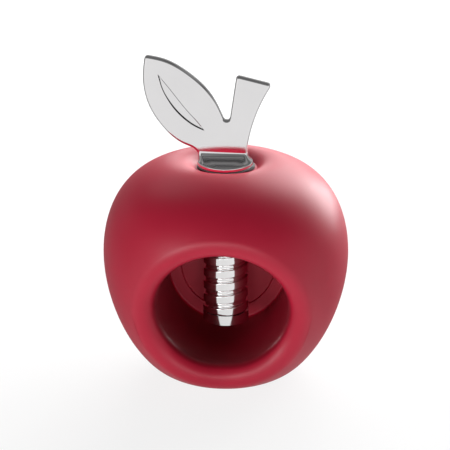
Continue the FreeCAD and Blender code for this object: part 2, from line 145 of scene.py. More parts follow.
class Finish:
    """The nodes of a material, round its Principled shader, or those of the surroundings."""

    def __init__(self, owner):
        owner.use_nodes = True
        self.owner = owner
        self.tree = owner.node_tree
        self.shader = self.tree.nodes.get("Principled BSDF")
        self.place = self.node("ShaderNodeTexCoord", out="Object")

    def node(self, kind, settings=None, sockets=None, out=0):
        made = self.tree.nodes.new(kind)
        for key, value in (settings or {}).items():
            if key == "stops":
                ramp = made.color_ramp.elements
                while len(ramp) < len(value):
                    ramp.new(0.5)
                for stop, (position, colour) in zip(ramp, value):
                    stop.position = position
                    stop.color = (*colour, 1.0)
            else:
                setattr(made, key, value)
        self.feed(made, sockets or {})
        return Wire(self, made.outputs[out])

    def feed(self, node, sockets):
        for key, value in sockets.items():
            if isinstance(value, Wire):
                self.tree.links.new(value.socket, node.inputs[key])
            else:
                node.inputs[key].default_value = value

    def set(self, **sockets):
        """Sets the shader's sockets; an underscore stands for a space in the socket's name."""
        self.feed(self.shader, {key.replace("_", " "): value for key, value in sockets.items()})

    def noise(self, scale, detail):
        return self.node("ShaderNodeTexNoise", {}, {"Vector": self.place, "Scale": scale, "Detail": detail})

    def ramp(self, value, *stops):
        return self.node("ShaderNodeValToRGB", {"stops": stops}, {0: value})

    def span(self, value, low, high):
        """Turns a value from 0 to 1 into one from low to high."""
        return value * (high - low) + low

    def smooth_step(self, value, low, high):
        """A soft step from 0 to 1 while value goes from low to high."""
        sockets = {"Value": value, "From Min": low, "From Max": high}
        return self.node("ShaderNodeMapRange", {"interpolation_type": "SMOOTHSTEP"}, sockets)

    def blend(self, share, first, second):
        """Mixes two colours; the node keeps its colour sockets sixth, seventh and second."""
        return self.node("ShaderNodeMix", {"data_type": "RGBA"}, {0: share, 6: first, 7: second}, 2)

    def bump(self, height, depth):
        return self.node("ShaderNodeBump", {}, {"Height": height, "Distance": depth, "Strength": 1.0})


def new_finish(name):
    return Finish(bpy.data.materials.new(name))


def rgb(red, green, blue):
    return (red, green, blue, 1.0)


print("a colour with its alpha:", rgb(1, 1, 1))

# %% [markdown]
# The apple's skin is a soft-touch lacquer over plastic: a deep cherry red whose gloss is spread
# wide, so that it turns pink where the light grazes it.  A plain glossy red would look like glass.
# The lacquer's own grain is far too fine to see as shape, so it is a bump and a slight change of
# roughness, with broad faint clouds where the coat lies a little thicker.  On the cavity's side walls
# the red is painted darker, as painted shade deep in the hollow.

# %% Finish: soft red lacquer
cavity_height = 35.5 * mm
mouth_radius = 24.0 * mm
cavity_back = 14.0 * mm
lacquer_grain = 0.012 * mm
side_fade = 1.2 * mm
back_fade = 1.5 * mm


def outside_painted_cavity_shade(finish):
    """0 on the cavity's side walls, where shade is painted, and 1 elsewhere, its back wall too."""
    from_axis = finish.node(
        "ShaderNodeVectorMath", {"operation": "MULTIPLY_ADD"},
        {0: finish.place, 1: (1.0, 0.0, 1.0), 2: (0.0, 0.0, -cavity_height)},
    )
    radius = finish.node("ShaderNodeVectorMath", {"operation": "LENGTH"}, {0: from_axis}, "Value")
    depth = finish.node("ShaderNodeSeparateXYZ", {}, {0: finish.place}, "Y")
    beside = finish.smooth_step(radius, mouth_radius, mouth_radius + side_fade)
    behind = finish.smooth_step(depth, cavity_back, cavity_back + back_fade)
    return 1 - (1 - beside) * (1 - behind)


def soft_red(name, deep, bright, inside, roughness):
    finish = new_finish(name)
    clouds = finish.noise(38.0, 3.0)
    grain = finish.noise(2600.0, 2.0)
    lacquer = finish.ramp(clouds, (0.32, deep), (0.68, bright))
    rough = finish.span(grain * 0.6 + clouds * 0.4, roughness - 0.05, roughness + 0.05)
    finish.set(
        # painted shade: the cavity's side walls get the darker inside colour
        Base_Color=finish.blend(outside_painted_cavity_shade(finish), rgb(*inside), lacquer),
        Roughness=rough,
        Normal=finish.bump(grain, lacquer_grain),
        Specular_IOR_Level=0.38,
    )
    return finish.owner


# The third colour of each lacquer is the painted shade for the cavity's side walls.
skin_lacquer = soft_red(
    "skin_lacquer", (0.43, 0.0075, 0.032), (0.46, 0.0085, 0.036), (0.27, 0.004, 0.018), 0.42
)
# The cavity's red is a little brighter than the skin's: painted light on its back wall.
cavity_lacquer_painted_light_and_shade = soft_red(
    "cavity_lacquer_painted_light_and_shade", (0.47, 0.010, 0.036), (0.50, 0.012, 0.040), (0.25, 0.004, 0.016), 0.45
)
print("red lacquers:", skin_lacquer.name, cavity_lacquer_painted_light_and_shade.name)

# %% [markdown]
# The handle and the screw are plated and polished.  Chrome has almost no colour of its own: it
# shows the room.  What makes it look real is that its polish isn't perfect, so its roughness
# wanders a little and a very faint bump bends the reflections.  A finish can also be given painted
# shade, a dark colour where a mask says, which here darkens the walls of the engraved vein.

# %% Finish: polished chrome
painted_vein_shade_colour = rgb(0.05, 0.05, 0.05)


def chrome(name, tone, roughness, wander, ripple, painted_shade_mask=None):
    finish = new_finish(name)
    patches = finish.noise(90.0, 3.0)
    polish = finish.noise(900.0, 2.0)
    colour = finish.ramp(patches, (0.3, tone), (0.7, tuple(min(1.0, 1.03 * c) for c in tone)))
    # painted shade: a dark colour where the mask says
    if painted_shade_mask:
        colour = finish.blend(painted_shade_mask(finish), colour, painted_vein_shade_colour)
    finish.set(
        Base_Color=colour,
        Metallic=1.0,
        Roughness=finish.span(patches * 0.5 + polish * 0.5, roughness, roughness + wander),
        Normal=finish.bump(patches, ripple),
    )
    return finish.owner


screw_chrome = chrome("polished_screw", (0.78, 0.77, 0.77), 0.07, 0.06, 0.006 * mm)
print("chrome:", screw_chrome.name)

# %% [markdown]
# The parts that hardly show still get what they are made of: turned brass with its fine rings,
# zinc-plated steel, black nylon and moulded rubber.

# %% Finishes: brass, steel, nylon and rubber
def turned_brass():
    finish = new_finish("turned_brass")
    rings = finish.node(
        "ShaderNodeTexWave",
        {"wave_type": "BANDS", "bands_direction": "Z"},
        {"Vector": finish.place, "Scale": 900.0, "Distortion": 0.6, "Detail": 1.0},
        out="Fac",
    )
    stain = finish.noise(120.0, 4.0)
    finish.set(
        Base_Color=finish.ramp(stain, (0.3, (0.56, 0.36, 0.13)), (0.7, (0.72, 0.50, 0.21))),
        Metallic=1.0,
        Roughness=finish.span(stain * 0.5 + rings * 0.5, 0.22, 0.38),
        Normal=finish.bump(rings, 0.01 * mm),
    )
    return finish.owner


def zinc_steel():
    finish = new_finish("zinc_steel")
    crystals = finish.node("ShaderNodeTexVoronoi", {}, {"Vector": finish.place, "Scale": 700.0}, "Distance")
    finish.set(
        Base_Color=finish.ramp(crystals, (0.1, (0.50, 0.51, 0.53)), (0.9, (0.66, 0.66, 0.66))),
        Metallic=1.0,
        Roughness=finish.span(crystals, 0.28, 0.42),
        Normal=finish.bump(crystals, 0.008 * mm),
    )
    return finish.owner


def black_moulding(name, tone, roughness, scale):
    finish = new_finish(name)
    grain = finish.noise(scale, 3.0)
    light = tuple(1.6 * c for c in tone)
    finish.set(
        Base_Color=finish.ramp(grain, (0.3, tone), (0.7, light)),
        Roughness=finish.span(grain, roughness - 0.08, roughness + 0.06),
        Normal=finish.bump(grain, 0.03 * mm),
    )
    return finish.owner


brass = turned_brass()
steel = zinc_steel()
nylon = black_moulding("black_nylon", (0.018, 0.018, 0.019), 0.42, 1400.0)
rubber = black_moulding("moulded_rubber", (0.014, 0.014, 0.015), 0.78, 900.0)
print("small finishes:", brass.name, steel.name, nylon.name, rubber.name)

# %% [markdown]
# The apple is a turned shape with a round hole bored in from the front and a soft lip round the
# hole.  Its outline runs from the seat in the crown's dimple, over the crown and down the flank to
# the foot.  A handful of points and a smooth curve through them give the whole outline, the same
# way a draughtsman bends a spline.

# %% The apple's outline
def smooth_curve(knots, spacing):
    """Points about spacing apart on the natural cubic curve through knots."""
    knots = np.array(knots, float)
    steps = np.linalg.norm(np.diff(knots, axis=0), axis=1)
    along = np.concatenate([[0.0], np.cumsum(steps)])
    count = len(knots)
    system = np.eye(count)
    right = np.zeros_like(knots)
    for k in range(1, count - 1):
        system[k, k - 1:k + 2] = steps[k - 1], 2 * (steps[k - 1] + steps[k]), steps[k]
        right[k] = 6 * ((knots[k + 1] - knots[k]) / steps[k] - (knots[k] - knots[k - 1]) / steps[k - 1])
    bend = np.linalg.solve(system, right)
    where = np.linspace(0, along[-1], max(3, int(round(along[-1] / spacing)) + 1))
    cell = np.clip(np.searchsorted(along, where, side="right") - 1, 0, count - 2)
    h = steps[cell][:, None]
    a = (along[cell + 1] - where)[:, None] / h
    b = 1 - a
    return (
        a * knots[cell] + b * knots[cell + 1]
        + ((a ** 3 - a) * bend[cell] + (b ** 3 - b) * bend[cell + 1]) * h ** 2 / 6
    )


body_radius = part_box("upper_shell")[1].x
crest_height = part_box("upper_shell")[1].z
seat_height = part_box("thrust_washer")[0].z
hole_radius = 8.85 * mm
seat_radius = 11.3 * mm
crest_radius = 17.0 * mm
foot_radius = 20.0 * mm
foot_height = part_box("lower_shell")[0].z
wall = 3.0 * mm

flank = [(0.542, 0.983), (0.736, 0.926), (0.882, 0.835), (0.967, 0.723), (1.000, 0.576),
         (0.973, 0.434), (0.883, 0.274), (0.729, 0.125), (0.576, 0.044)]
outline_knots = [
    (seat_radius, seat_height),
    (seat_radius + 0.42 * (crest_radius - seat_radius), seat_height + 0.68 * (crest_height - seat_height)),
    (crest_radius, crest_height),
    *[(r * body_radius, h * crest_height) for r, h in flank],
    (foot_radius, foot_height),
]
outline_step = 0.1 * mm
outline = smooth_curve(outline_knots, outline_step)
print("outline:", len(outline), "points, widest", round(outline[:, 0].max() / mm, 2), "mm")

# %% [markdown]
# The skin is laid out as a grid: columns go round the apple and rows run down its outline.  The
# mouth needs a round hole in that grid, so a rectangular window of cells is left out, and rings fan
# from the hole's edge to the window's frame, one point of the ring for each point of the frame.
# That keeps every face a quad and the mesh closed, where a boolean would leave long thin triangles
# that show as scratches in a glossy coat.

# %% A grid with a round hole
column_count = 240
column_turns = 2 * np.pi * np.arange(column_count) / column_count
window_columns = 32
window_margin = 5.0 * mm
foot_margin = 0.5 * mm
fan_rings = 9
points_per_row = 10

slope = np.gradient(outline, axis=0)
slope /= np.linalg.norm(slope, axis=1)[:, None]
steps = np.arange(len(outline))


def skin_point(turn, place, inward=0.0):
    """Points on the skin, or below it, for turns from the front and places along the outline."""
    r = np.interp(place, steps, outline[:, 0]) + inward * np.interp(place, steps, slope[:, 1])
    z = np.interp(place, steps, outline[:, 1]) - inward * np.interp(place, steps, slope[:, 0])
    return np.stack([r * np.sin(turn), -r * np.cos(turn), z + 0 * turn], -1)


class Patchwork:
    """Collects grids of points; their shared borders are welded when the piece is made."""

    def __init__(self):
        self.points, self.faces = [], []

    def grid(self, points, closed=True, keep=lambda row, column: True):
        """Quads between neighbouring points; closed joins the last column to the first."""
        points = np.asarray(points, float)
        rows, columns = points.shape[:2]
        first = len(self.points)
        for r in range(rows - 1):
            for c in range(columns if closed else columns - 1):
                if keep(r, c):
                    a, b = first + r * columns + c, first + r * columns + (c + 1) % columns
                    self.faces.append((a, b, b + columns, a + columns))
        self.points += list(points.reshape(-1, 3))

    def turned(self, profile, turns=column_turns):
        """A surface turned round the Z axis from (radius, height) points."""
        r, z = np.asarray(profile, float)[:, None, :].transpose(2, 0, 1)
        self.grid(np.stack([r * np.sin(turns), -r * np.cos(turns), z + 0 * turns], -1))


def window_frame(rows, low, high):
    """The frame of the window between two rows, as turns and places, starting at the right."""
    middle, right, left = (low + high) // 2, window_columns, -window_columns
    path = [(right, r) for r in range(middle, low, -1)]
    path += [(c, low) for c in range(right, left, -1)]
    path += [(left, r) for r in range(low, high)]
    path += [(c, high) for c in range(left, right)]
    path += [(right, r) for r in range(high, middle, -1)]
    path = np.array(path)
    return path[:, 0] * column_turns[1], rows[path[:, 1]]


def holed_skin(work, rows, window, hole, inward=0.0):
    """The skin's grid over rows of outline places, with a hole whose edge is a ring of points."""
    low, high = window

    def outside_window(row, column):
        beside = window_columns <= column < column_count - window_columns
        return beside or not low <= row < high

    work.grid(skin_point(column_turns[None, :], rows[:, None], inward), keep=outside_window)
    frame_turn, frame_place = window_frame(rows, low, high)
    share = np.linspace(0, 1, fan_rings + 1)[:, None]
    turn = hole[0] + share * (frame_turn - hole[0])
    work.grid(skin_point(turn, hole[1] + share * (frame_place - hole[1]), inward))


print("columns:", column_count, "window half-width:", window_columns)

# %% [markdown]
# The lip is a ball rolled along the edge between the bore and the skin.  For each direction round
# the mouth the ball's centre is where it touches both: a distance of the lip's radius inside the
# bore's wall and the same distance under the skin.  A Bevel modifier would do this on a clean
# boolean edge, but here the angle between the two surfaces changes all the way round, and working
# the ball out gives an even lip and a mesh with no slivers.

# %% Rolling the lip
mouth_depth = -36.0 * mm
draft = math.radians(1.5)
lip_radius = 5.0 * mm
collar_radius = 29.5 * mm
core_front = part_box("cavity_core")[0].y
halvings = 40


def bore_radius(y):
    return mouth_radius - (y - mouth_depth) * math.tan(draft)


def nearest_on_outline(points):
    """How deep points lie under the skin, and the place of the outline that they are nearest to."""
    r, z = np.hypot(points[:, 0], points[:, 1]), points[:, 2]
    gap = (outline[None, :, 0] - r[:, None]) ** 2 + (outline[None, :, 1] - z[:, None]) ** 2
    best = np.clip(gap.argmin(1), 1, len(outline) - 2)
    before, middle, after = (gap[np.arange(len(r)), best + k] for k in (-1, 0, 1))
    shift = 0.5 * (before - after) / (before - 2 * middle + after)
    return np.sqrt(np.maximum(middle - 0.25 * (before - after) * shift, 0)), best + shift


def meet_skin(place_at, depth):
    """For each direction round the mouth, the y where place_at(y) lies a depth under the skin."""
    near = np.full(len(mouth_angle), -body_radius)
    far = np.full(len(mouth_angle), core_front)
    for _ in range(halvings):
        middle = 0.5 * (near + far)
        under = nearest_on_outline(place_at(middle))[0] > depth
        under &= np.hypot(*place_at(middle)[:, :2].T) <= body_radius
        near, far = np.where(under, near, middle), np.where(under, middle, far)
    return 0.5 * (near + far)


def on_ring(radius, y):
    """Points round the cavity's axis at a radius and a depth."""
    x, z = radius * np.cos(mouth_angle), cavity_height + radius * np.sin(mouth_angle)
    return np.stack([x, y + 0 * mouth_angle, z], -1)


def ball_centre(touch_y):
    radius = bore_radius(touch_y) + lip_radius * math.cos(draft)
    return on_ring(radius, touch_y + lip_radius * math.sin(draft))


row_count = (len(outline) - 1) // points_per_row
skin_rows = np.linspace(0, len(outline) - 1, row_count + 1)
row_heights = np.interp(skin_rows, steps, outline[:, 1])
window = (
    int(np.searchsorted(-row_heights, -(cavity_height + mouth_radius + lip_radius + window_margin))),
    int(np.searchsorted(-row_heights, -(foot_height + foot_margin))),
)
frame_turn, frame_place = window_frame(skin_rows, *window)
frame_height = np.interp(frame_place, steps, outline[:, 1])
mouth_angle = np.arctan2(frame_height - cavity_height, body_radius * np.sin(frame_turn))
bore_edge = meet_skin(ball_centre, lip_radius)
centre = ball_centre(bore_edge)
lip_place = nearest_on_outline(centre)[1]
lip_turn = np.arctan2(centre[:, 0], -centre[:, 1])
print("lip's inner edge from y", round(bore_edge.min() / mm, 1), "to", round(bore_edge.max() / mm, 1), "mm")

# %% [markdown]
# The apple is one seamless skin.  The frame has two moulded shells that fit together, and here they
# are shown as if coated after that, so no joint shows and one piece stands for both.  Its outside is
# the holed grid, its lip the rolled ball, and a plain inside a wall's thickness deep closes it, so
# that it is a real hollow body.

# %% Piece: the apple's skin
lip_steps = 14
bore_steps = 8
inner_ceiling = seat_height - wall
inner_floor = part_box("rubber_pad")[1].z + wall
pad_recess = 17.8 * mm
pad_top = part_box("rubber_pad")[1].z
crest_place = outline[:, 1].argmax()


def apple_skin():
    work = Patchwork()
    holed_skin(work, skin_rows, window, (lip_turn, lip_place))
    skin_edge = skin_point(lip_turn, lip_place)
    bore_line = on_ring(bore_radius(bore_edge), bore_edge)
    first, last = (edge - centre for edge in (skin_edge, bore_line))
    angle = np.arccos(np.clip((first * last).sum(1) / lip_radius ** 2, -1, 1))[:, None]
    share = np.linspace(0, 1, lip_steps + 1)[:, None, None]
    arc = (np.sin((1 - share) * angle) * first + np.sin(share * angle) * last) / np.sin(angle)
    work.grid(centre + arc)
    depth = np.linspace(0, 1, bore_steps + 1)[:, None]
    y = bore_edge + depth * (core_front - bore_edge)
    work.grid(on_ring(bore_radius(y), y))

    inner_heights = skin_point(np.zeros(len(skin_rows)), skin_rows, wall)[:, 2]
    between = (inner_heights > inner_floor) & (inner_heights < inner_ceiling)
    kept = np.flatnonzero(between & (skin_rows > crest_place))
    inner_rows = skin_rows[kept]
    collar_line = on_ring(collar_radius, meet_skin(lambda y: on_ring(collar_radius, y), wall))
    inner_hole = (np.arctan2(collar_line[:, 0], -collar_line[:, 1]), nearest_on_outline(collar_line)[1])
    inner_low = min(window[1], kept[-1]) - kept[0]
    inner_window = (inner_low - (window[1] - window[0]), inner_low)
    holed_skin(work, inner_rows, inner_window, inner_hole, wall)
    bore_end = on_ring(bore_radius(core_front), core_front)
    work.grid([bore_end, on_ring(collar_radius, core_front), skin_point(*inner_hole, wall)])

    top, bottom = (skin_point(0.0, inner_rows[k], wall) for k in (0, -1))
    work.turned([
        outline[0], (hole_radius, seat_height), (hole_radius, inner_ceiling),
        (-top[1], inner_ceiling), (-top[1], top[2]),
    ])
    work.turned([outline[-1], (pad_recess, foot_height), (pad_recess, pad_top), (0, pad_top)])
    work.turned([(-bottom[1], bottom[2]), (-bottom[1], inner_floor), (0, inner_floor)])
    return mesh_piece("apple_skin", work, "body", skin_lacquer)


skin = apple_skin()
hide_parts("upper_shell", "lower_shell")

# %% [markdown]
# The handle is a flat plate cut to the shape of a leaf and its stem.  Its outline is drawn the way
# a template is: smooth curves between a few points, and a small arc in each corner.  The same
# curves run on below the plate, where it flares into its round foot.

# %% The handle's outline
flange_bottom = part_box("spindle")[1].z
half_plate = 1.6 * mm
edge_rounding = 1.05 * mm
plate_foot = 5.0 * mm
rim_height = 1.8 * mm
rim_radius = 10.1 * mm
corner_radius = 1.15 * mm
notch_radius = 1.26 * mm
curve_spacing = 0.25 * mm


def leaf_curve(*knots):
    """A smooth curve through points given in mm: across, and above the flange's underside."""
    return smooth_curve(np.array(knots) * mm, curve_spacing)


def with_corners(sections, radii):
    """Joins sections end to end, with an arc of its own radius in each corner."""
    path = sections[0]
    for after, radius in zip(sections[1:], radii):
        corner = after[0]
        arriving = corner - path[-2]
        leaving = after[1] - corner
        arriving, leaving = arriving / np.linalg.norm(arriving), leaving / np.linalg.norm(leaving)
        bisector = leaving - arriving
        bisector /= np.linalg.norm(bisector)
        half = math.acos(float(np.dot(leaving, bisector)))
        cut = radius / math.tan(half)
        arc_centre = corner + bisector * radius / math.sin(half)
        first, last = corner - arriving * cut - arc_centre, corner + leaving * cut - arc_centre
        turn = math.acos(float(np.dot(first, last)) / radius ** 2)
        share = np.linspace(0, 1, 3 + int(turn / math.radians(9)))[:, None]
        arc = arc_centre + (np.sin((1 - share) * turn) * first + np.sin(share * turn) * last) / math.sin(turn)
        clear = np.linalg.norm(path - corner, axis=1) > 1.02 * cut
        rest = np.linalg.norm(after - corner, axis=1) > 1.02 * cut
        path = np.concatenate([path[clear], arc, after[rest]])
    return path


left_side = leaf_curve(
    (-10.1, 1.4), (-9.9, 2.4), (-9.95, 3.6), (-10.4, 5.0), (-11.7, 6.3), (-14.7, 7.7), (-22.5, 14.1),
    (-27.8, 22.9), (-29.5, 33.6), (-28.7, 40.4),
)
leaf_top = leaf_curve(
    (-28.7, 40.4), (-21.4, 38.8), (-13.3, 34.2), (-6.5, 27.9), (-2.7, 21.8), (-0.9, 17.8), (0.9, 13.5)
)
stem_left = leaf_curve((0.9, 13.5), (3.8, 33.5))
stem_top = leaf_curve((3.8, 33.5), (16.4, 30.4))
right_side = leaf_curve(
    (16.4, 30.4), (13.2, 24.6), (10.4, 17.9), (8.5, 11.2), (7.8, 5.4), (8.0, 3.8), (8.8, 2.4), (10.1, 1.4)
)
plate_left, plate_right = (side[side[:, 1] > plate_foot] for side in (left_side, right_side))
plate_outline = with_corners(
    [plate_left, leaf_top, stem_left, stem_top, plate_right],
    [corner_radius, notch_radius, corner_radius, corner_radius],
)
print("plate outline:", len(plate_outline), "points")

# %% [markdown]
# The vein is a shallow crescent engraved in the front of the leaf.  Its wall is wider along the lower
# left side than along the other, and both get painted shade, so one side shows as a dark line and the
# other as a fine one.  A boolean cut would leave thin triangles in the plate's mirror, so it is a
# strip between two curves, like a ladder whose rungs dip, and the flat front is filled round it.

# %% The vein's shape
vein_depth = 0.50 * mm
vein_wall = 0.52 * mm
vein_far_wall = 0.36 * mm
vein_stations = 60
steepest = 0.6
vein_left = leaf_curve(
    (-24.2, 33.8), (-22.9, 28.6), (-20.8, 24.4), (-18.1, 20.6), (-14.7, 17.2), (-11.0, 14.6), (-7.6, 13.1)
)
vein_right = leaf_curve(
    (-24.2, 33.8), (-20.1, 28.8), (-16.2, 23.7), (-12.6, 19.3), (-9.5, 15.8), (-7.6, 13.1)
)


def evenly(curve, count):
    """The same curve with count points, evenly spread."""
    along = np.concatenate([[0], np.cumsum(np.linalg.norm(np.diff(curve, axis=0), axis=1))])
    where = np.linspace(0, along[-1], count)
    return np.stack([np.interp(where, along, curve[:, k]) for k in (0, 1)], 1)


def vein_strip():
    """Points of the vein, station by station: across, above the flange's underside, and depth."""
    left, right = evenly(vein_left, vein_stations), evenly(vein_right, vein_stations)
    rungs = []
    for a, b in zip(left[1:-1], right[1:-1]):
        width = np.linalg.norm(b - a)
        depth = min(vein_depth, steepest * width)
        foot, far_foot = min(vein_wall / width, 0.45), min(vein_far_wall / width, 0.25)
        shares = (0, 0.3 * foot, 0.7 * foot, foot, 0.5, 1 - far_foot, 1 - 0.5 * far_foot, 1)
        drops = (0, 0.18, 0.82, 1, 1, 1, 0.5, 0)
        rungs.append([(*(a + share * (b - a)), drop * depth) for share, drop in zip(shares, drops)])
    ends = [[(*end, 0.0)] * len(rungs[0]) for end in (left[0], left[-1])]
    return np.array([ends[0], *rungs, ends[1]])


vein = vein_strip()
print("vein:", vein.shape[0], "stations, deepest", round(vein[:, :, 2].max() / mm, 2), "mm")

# %% [markdown]
# The handle's chrome paints shade on the vein's walls, so it has to know where they are.  An oval
# round the vein keeps the plate's own rounded edges out, and the depth under the plate's face tells a
# wall from the vein's floor.

# %% Finish: the handle's chrome
vein_middle = (-15.9 * mm, -half_plate, flange_bottom + 23.45 * mm)
vein_along, vein_across = (0.626, 0.0, -0.780), (0.780, 0.0, 0.626)
oval_half_length, oval_half_width = 13.8 * mm, 4.4 * mm
wall_top, wall_foot = (0.03 * mm, 0.10 * mm), (0.38 * mm, 0.48 * mm)


def vein_walls_painted_shade(finish):
    """Where shade is painted: 1 on the vein's sloping walls, and 0 on its floor and on the rest of the
    handle.
    """
    sockets = {0: finish.place, 1: vein_middle}
    from_middle = finish.node("ShaderNodeVectorMath", {"operation": "SUBTRACT"}, sockets)
    along, across = (
        finish.node("ShaderNodeVectorMath", {"operation": "DOT_PRODUCT"}, {0: from_middle, 1: way}, "Value")
        for way in (vein_along, vein_across)
    )
    oval = along * along * (1 / oval_half_length ** 2) + across * across * (1 / oval_half_width ** 2)
    depth = finish.node("ShaderNodeSeparateXYZ", {}, {0: from_middle}, "Y")
    below = finish.smooth_step(depth, *wall_top)
    above = 1 - finish.smooth_step(depth, *wall_foot)
    return below * above * (1 - finish.smooth_step(oval, 0.95, 1.0))


# painted shade darkens the vein's walls in the handle's chrome
handle_chrome = chrome("polished_handle", (0.74, 0.73, 0.735), 0.05, 0.05, 0.004 * mm, vein_walls_painted_shade)
print("chrome:", handle_chrome.name)

# %% [markdown]
# The plate's two faces are flat, so any triangles fill them.  A constrained Delaunay filling goes
# exactly from border point to border point, and the triangles inside the vein are left out.

# %% Flat faces
def contains(polygon, point):
    """Whether a closed polygon goes round a point."""
    offset = polygon - point
    angle = np.arctan2(offset[:, 1], offset[:, 0])
    turn = np.diff(np.append(angle, angle[0]))
    return abs(((turn + np.pi) % (2 * np.pi) - np.pi).sum()) > np.pi


def filled(border, hole=None):
    """Triangles that fill a flat border, leaving a hole out."""
    loops = [border] if hole is None else [border, hole]
    points = np.concatenate(loops)
    edges, first = [], 0
    for loop in loops:
        edges += [(first + k, first + (k + 1) % len(loop)) for k in range(len(loop))]
        first += len(loop)
    made = geometry.delaunay_2d_cdt([Vector(p) for p in points / mm], edges, [], 1, 1e-6)
    flat = np.array([(v.x, v.y) for v in made[0]]) * mm
    kept = [t for t in made[2] if hole is None or not contains(hole, flat[list(t)].mean(0))]
    return flat, kept


print("the plate's outline fills with", len(filled(plate_outline)[1]), "triangles")

# %% [markdown]
# Below the plate the handle flares into a round foot.  Its cross-section changes from the plate's
# long thin rectangle to a circle, so it is lofted: each ring is a rectangle whose corner radius
# grows with its depth until the ring is round.  In front it follows a quarter of an ellipse, which
# leaves the plate without a kink and ends level on the rim.  The rim bulges a little, and under it a
# spigot goes down into the screw.  Polished metal shows every flaw, so the plate's faces are shaded
# flat and the rings stand close together where the curve is tight.

# %% Piece: the leaf handle
chrome_sharp = 50.0
cap_steps = 10
front_steps = 36
loft_rings = 40
side_points = 60
foot_rounding = 0.995 * rim_radius
rim_bulge = 0.4 * mm
bead_steps = 10
spigot_radius = 5.0 * mm
spigot_length = 13.5 * mm
spigot_chamfer = 0.5 * mm


def edge_profile(rounding):
    """How far inside the outline, and how far forward, the points of a rounded edge lie."""
    angle = np.linspace(0, np.pi / 2, cap_steps)
    return rounding * (1 - np.cos(angle)), rounding * (np.sin(angle) - 1)


def section(left, left_inward, right, right_inward, half_depth, rounding):
    """A closed ring round the handle: front from left to right, then the back."""
    inside, forward = edge_profile(rounding)
    left_cap = left + inside[:, None] * left_inward
    right_cap = right + inside[:, None] * right_inward
    share = np.linspace(0, 1, front_steps + 2)[1:-1, None]
    middle = left_cap[-1] + share * (right_cap[-1] - left_cap[-1])
    front = np.concatenate([left_cap, middle, right_cap[::-1]])
    depth = half_depth + np.concatenate([forward, np.zeros(front_steps), forward[::-1]])
    ring = np.stack([front[:, 0], -depth, flange_bottom + front[:, 1]], 1)
    return np.concatenate([ring, (ring * (1, -1, 1))[::-1]])


def leaf_handle():
    work = Patchwork()
    along = np.gradient(plate_outline, axis=0)
    inward = np.stack([along[:, 1], -along[:, 0]], 1) / np.linalg.norm(along, axis=1)[:, None]
    inside, forward = edge_profile(edge_rounding)
    front = plate_outline[:, None, :] + inside[None, :, None] * inward[:, None, :]
    depth = np.broadcast_to(half_plate + forward, front.shape[:2])
    strip = np.stack([front[..., 0], -depth, flange_bottom + front[..., 1]], -1)
    work.grid(np.concatenate([(strip * (1, -1, 1))[:, ::-1], strip], 1), closed=False)

    rings = []
    level = np.array((1.0, 0.0))
    lower_left, lower_right = left_side[:side_points, ::-1].T, right_side[::-1][:side_points, ::-1].T
    for k in range(loft_rings + 1):
        angle = math.pi / 2 * (k / loft_rings) ** 1.5
        share = 1 - math.cos(angle)
        height = plate_foot - (plate_foot - rim_height) * math.sin(angle)
        half_depth = half_plate + (rim_radius - half_plate) * share
        rounding = edge_rounding + (foot_rounding - edge_rounding) * share
        turn = min(1.0, k / (0.4 * loft_rings))
        left_inward = (1 - turn) * inward[0] + turn * level
        right_inward = (1 - turn) * inward[-1] - turn * level
        left_inward /= np.linalg.norm(left_inward)
        right_inward /= np.linalg.norm(right_inward)
        left = np.array((np.interp(height, *lower_left), height)) if k else plate_outline[0]
        right = np.array((np.interp(height, *lower_right), height)) if k else plate_outline[-1]
        rings.append(section(left, left_inward, right, right_inward, half_depth, rounding))
    foot = rings[-1] - (0, 0, rings[-1][0, 2])
    for angle in np.linspace(0, np.pi, bead_steps)[1:]:
        scale = 1 + rim_bulge * math.sin(angle) / rim_radius
        height = flange_bottom + rim_height * (1 + math.cos(angle)) / 2
        rings.append(foot * (scale, scale, 1) + (0, 0, height))
    end = flange_bottom - spigot_length
    spigot = ((flange_bottom, 0), (end + spigot_chamfer, 0), (end, spigot_chamfer), (end, spigot_radius))
    for height, inset in spigot:
        scale = (spigot_radius - inset) / rim_radius
        rings.append(foot * (scale, scale, 1) + (0, 0, height))
    work.grid(rings)

    inset = front[:, -1]
    top_ring = rings[0][cap_steps:cap_steps + front_steps, ::2] - (0, flange_bottom)
    border = np.concatenate([inset, top_ring[::-1]])
    hole = np.concatenate([vein[:, 0, :2], vein[-2:0:-1, -1, :2]])
    for y, (flat, triangles) in ((-half_plate, filled(border, hole)), (half_plate, filled(border))):
        first = len(work.points)
        work.points += [(a, y, flange_bottom + b) for a, b in flat]
        work.faces += [tuple(first + k for k in t) for t in triangles]
    across, height, depth = vein.transpose(2, 0, 1)
    work.grid(np.stack([across, depth - half_plate, flange_bottom + height], -1), closed=False)
    piece = mesh_piece("leaf_handle_plate", work, "spindle", handle_chrome, chrome_sharp)
    for face in piece.data.polygons:
        if abs(face.normal.y) > 0.99999:
            face.use_smooth = False
    return piece


handle = leaf_handle()
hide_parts("leaf_handle")

# %% [markdown]
# The screw has one broad flat groove that winds up it, with softly rounded corners where the plating
# has built up.  It could be made with a Screw modifier, but its ends would need trimming.  Here each
# row of points follows the groove's own slope, and the rows are held between the screw's two ends,
# so the groove runs out through the ends by itself.

# %% Piece: the screw
screw_radius = 8.5 * mm
pitch = 5.0 * mm
groove_depth = 0.85 * mm
groove_top = 78.0 * mm
groove_half_widths = (0.6 * mm, 1.05 * mm)
corner_softness = 0.14 * mm
end_chamfer = 0.15 * mm
groove_runout = 1.2 * mm
socket_radius, socket_mouth, socket_floor = 5.05 * mm, 80.7 * mm, 66.7 * mm
foot_hole_radius, foot_hole_mouth, foot_hole_floor = 2.05 * mm, 24.8 * mm, 35.3 * mm
softening = (-1.0, -0.5, 0.0, 0.5, 1.0)
screw_low, screw_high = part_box("spindle")[0].z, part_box("spindle")[1].z
screw_columns = 160


